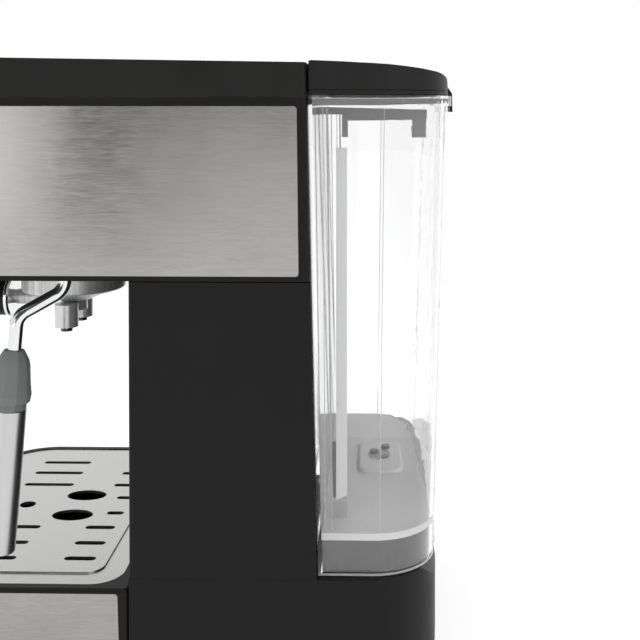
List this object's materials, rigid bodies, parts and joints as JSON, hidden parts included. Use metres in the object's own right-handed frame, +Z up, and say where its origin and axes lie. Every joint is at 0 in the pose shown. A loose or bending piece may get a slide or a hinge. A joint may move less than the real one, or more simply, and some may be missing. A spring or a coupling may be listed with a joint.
{
  "type": "espresso machine",
  "caption": "Free-standing pump espresso machine with a steel-banded body, twist-in filter holder, swivelling steam wand, slotted drip tray and lift-off clear rear tank.",
  "frame": {"origin": "centre of the bounding box, on the surface that the feet stand on", "axes": "+X to the right seen from the front, front faces -Y, +Z up"},
  "size_m": [0.21, 0.3808, 0.3306],
  "materials": {
    "black_plastic": "fine grain",
    "gloss_black": "gloss",
    "steel_band": "brushed lengthwise",
    "steel_plate": "brushed",
    "steel_screws": "plain",
    "chrome": "polished",
    "clear_plastic": "clear",
    "grey_rubber": "matt",
    "black_rubber": "matt",
    "brass": "turned",
    "cast_alloy": "cast",
    "silicone": "translucent",
    "button_grey": "satin metallic",
    "lamp_lens": "clear",
    "board_green": "lacquer",
    "coil_dark": "lacquer"
  },
  "bodies": {
    "machine": {"base_deck": "black_plastic", "rear_base_housing": "black_plastic", "column_housing": "black_plastic", "upper_housing": "black_plastic", "top_cover": "black_plastic", "wand_nut": "black_plastic", "cord_gland": "black_plastic", "inlet_socket": "black_plastic", "control_panel": "gloss_black", "steel_band": "steel_band", "cup_plate": "steel_plate", "shower_screen": "steel_plate", "base_screws": "steel_screws", "boiler_bolts": "steel_screws", "screen_screw": "steel_screws", "group_collar": "chrome", "rubber_feet": "black_rubber", "group_gasket": "black_rubber", "boiler_seal": "black_rubber", "pump_mounts": "black_rubber", "steam_valve": "brass", "boiler_body": "cast_alloy", "boiler_lid": "cast_alloy", "water_hose": "silicone", "steam_tube": "silicone", "pressure_pipe": "silicone", "indicator_lights": "lamp_lens", "switch_board": "board_green", "control_board": "board_green", "pump_coil": "coil_dark", "pump_body": "coil_dark", "thermostats": "coil_dark"},
    "tray": {"drip_tray": "black_plastic", "tray_band": "steel_band"},
    "grille": {"drip_grille": "steel_plate"},
    "portafilter": {"portafilter_body": "chrome", "filter_basket": "steel_plate", "basket_clip": "steel_screws", "spout": "chrome", "spout_tips": "gloss_black", "handle_ferrule": "chrome", "portafilter_handle": "black_plastic", "handle_stud": "steel_screws"},
    "wand": {"steam_pipe": "chrome", "wand_grip": "grey_rubber", "wand_sleeve": "steel_plate", "wand_nozzle": "brass"},
    "knob": {"steam_knob": "black_plastic", "valve_spindle": "steel_screws"},
    "button_power": {"power_button": "button_grey"},
    "button_brew": {"brew_button": "button_grey"},
    "button_steam": {"steam_button": "button_grey"},
    "tank": {"water_tank": "clear_plastic", "tank_valve_body": "black_plastic", "tank_seal": "black_rubber"},
    "valve": {"valve_poppet": "black_plastic", "valve_spring": "steel_screws"},
    "lid": {"tank_lid": "black_plastic", "lid_hinge_pin": "steel_screws"}
  },
  "joints": [
    {"name": "tray_slide", "type": "slide", "parent": "machine", "child": "tray", "axis": [0, -1, 0], "range_m": [0, 0.13]},
    {"name": "grille_lift", "type": "slide", "parent": "tray", "child": "grille", "axis": [0, 0, 1], "range_m": [0, 0.008]},
    {"name": "portafilter_twist", "type": "hinge", "parent": "machine", "child": "portafilter", "pos_m": [0, -0.041, 0.2], "axis": [0, 0, 1], "range_deg": [-50, 0]},
    {"name": "wand_swivel", "type": "hinge", "parent": "machine", "child": "wand", "pos_m": [0.08, -0.0214, 0.215], "axis": [0, 0, 1], "range_deg": [-45, 65]},
    {"name": "steam_knob_turn", "type": "hinge", "parent": "machine", "child": "knob", "pos_m": [0.048, -0.11, 0.262], "axis": [0, -1, 0], "range_deg": [0, 270]},
    {"name": "power_press", "type": "slide", "parent": "machine", "child": "button_power", "axis": [0, 1, 0], "range_m": [0, 0.002], "stiffness_N_per_m": 300},
    {"name": "brew_press", "type": "slide", "parent": "machine", "child": "button_brew", "axis": [0, 1, 0], "range_m": [0, 0.002], "stiffness_N_per_m": 300},
    {"name": "steam_press", "type": "slide", "parent": "machine", "child": "button_steam", "axis": [0, 1, 0], "range_m": [0, 0.002], "stiffness_N_per_m": 300},
    {"name": "tank_lift", "type": "slide", "parent": "machine", "child": "tank", "axis": [0, 0, 1], "range_m": [0, 0.25]},
    {"name": "valve_close", "type": "slide", "parent": "tank", "child": "valve", "axis": [0, 0, -1], "range_m": [0, 0.0024], "deforming": ["valve_spring"]},
    {"name": "lid_hinge", "type": "hinge", "parent": "tank", "child": "lid", "pos_m": [0, 0.113, 0.3254], "axis": [1, 0, 0], "range_deg": [0, 88]}
  ],
  "couplings": [
    {"joint": "valve_close", "follows": "tank_lift", "ratio": 0.0096}
  ]
}
